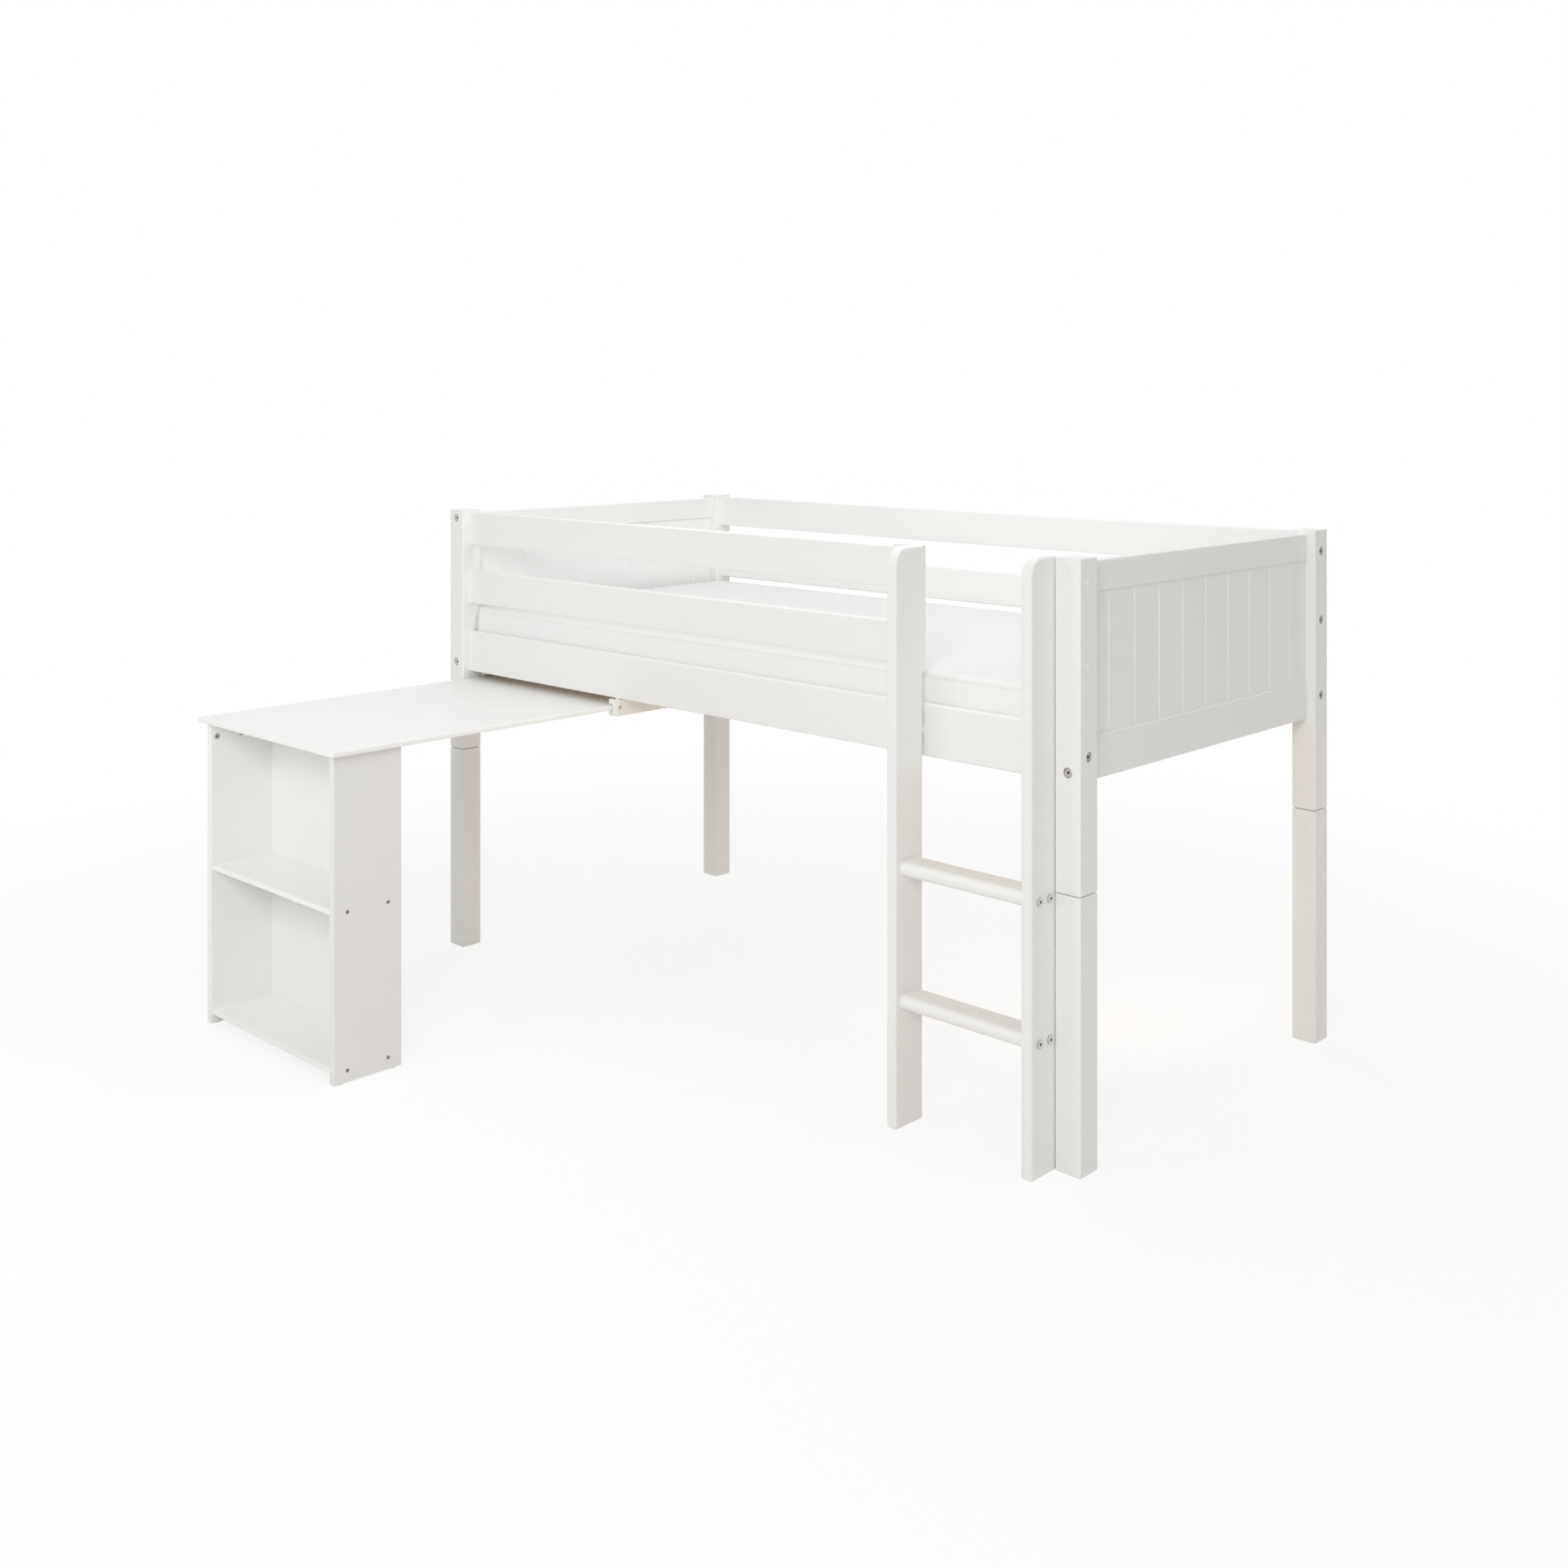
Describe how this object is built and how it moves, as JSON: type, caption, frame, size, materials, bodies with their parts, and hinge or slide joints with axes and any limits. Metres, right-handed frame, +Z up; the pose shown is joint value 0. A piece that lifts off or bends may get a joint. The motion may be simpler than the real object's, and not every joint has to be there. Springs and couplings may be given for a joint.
{
  "type": "loft bed",
  "caption": "Mid-high loft bed in white lacquered wood with panelled ends, guard rails, a straight ladder, a mattress and a pull-out desk on an open bookcase.",
  "frame": {"origin": "on the floor, in the middle of the plan with the desk pulled out", "axes": "+X along the bed to the end beside the ladder, -Y to the front where the desk comes out, +Z up"},
  "size_m": [2.0896, 1.81, 1.207],
  "materials": {
    "white_lacquer": "white satin lacquer",
    "bare_pine": "planed and bare",
    "zinc_steel": "zinc plated",
    "white_bolt_steel": "white powder coat",
    "white_plastic": "moulded satin",
    "mattress_cover": "white woven cover",
    "felt": "pressed felt"
  },
  "bodies": {
    "bed_frame": {"bolt_caps": "white_plastic", "desk_runner_left": "white_lacquer", "desk_runner_right": "white_lacquer", "end_bolts": "zinc_steel", "front_guard_high": "white_lacquer", "front_guard_low": "white_lacquer", "front_side_rail": "white_lacquer", "guard_end_cleat": "white_lacquer", "guard_screws": "zinc_steel", "insert_nuts": "zinc_steel", "ladder_mount_bolts": "zinc_steel", "ladder_mount_nuts": "zinc_steel", "ladder_rung_1": "white_lacquer", "ladder_rung_2": "white_lacquer", "ladder_spacers": "white_plastic", "ladder_stringer_left": "white_lacquer", "ladder_stringer_right": "white_lacquer", "ledger_screws": "zinc_steel", "left_end_bottom_rail": "white_lacquer", "left_end_panel": "white_lacquer", "left_end_top_rail": "white_lacquer", "leg_caps": "white_plastic", "leg_front_left": "white_lacquer", "leg_front_right": "white_lacquer", "leg_nuts": "zinc_steel", "leg_rear_left": "white_lacquer", "leg_rear_right": "white_lacquer", "leg_studs": "zinc_steel", "mattress": "mattress_cover", "post_front_left": "white_lacquer", "post_front_right": "white_lacquer", "post_rear_left": "white_lacquer", "post_rear_right": "white_lacquer", "rail_bolts": "zinc_steel", "rail_dowels": "bare_pine", "rear_guard_high": "white_lacquer", "rear_guard_low": "white_lacquer", "rear_side_rail": "white_lacquer", "right_end_bottom_rail": "white_lacquer", "right_end_panel": "white_lacquer", "right_end_top_rail": "white_lacquer", "rung_bolts": "white_bolt_steel", "rung_nuts": "zinc_steel", "runner_bolts": "zinc_steel", "runner_nuts": "zinc_steel", "runner_spacers": "white_plastic", "slat_ledger_front": "bare_pine", "slat_ledger_rear": "bare_pine", "slat_screws": "zinc_steel", "slats": "bare_pine"},
    "desk": {"bookcase_back": "white_lacquer", "bookcase_bottom_shelf": "white_lacquer", "bookcase_left_side": "white_lacquer", "bookcase_middle_shelf": "white_lacquer", "bookcase_right_side": "white_lacquer", "cam_bolts": "zinc_steel", "cam_locks": "zinc_steel", "desk_top": "white_lacquer", "floor_pads": "felt", "shelf_screws": "zinc_steel"}
  },
  "joints": [
    {"name": "desk_slide", "type": "slide", "parent": "bed_frame", "child": "desk", "axis": [0, 1, 0], "range_m": [0, 0.76]}
  ]
}
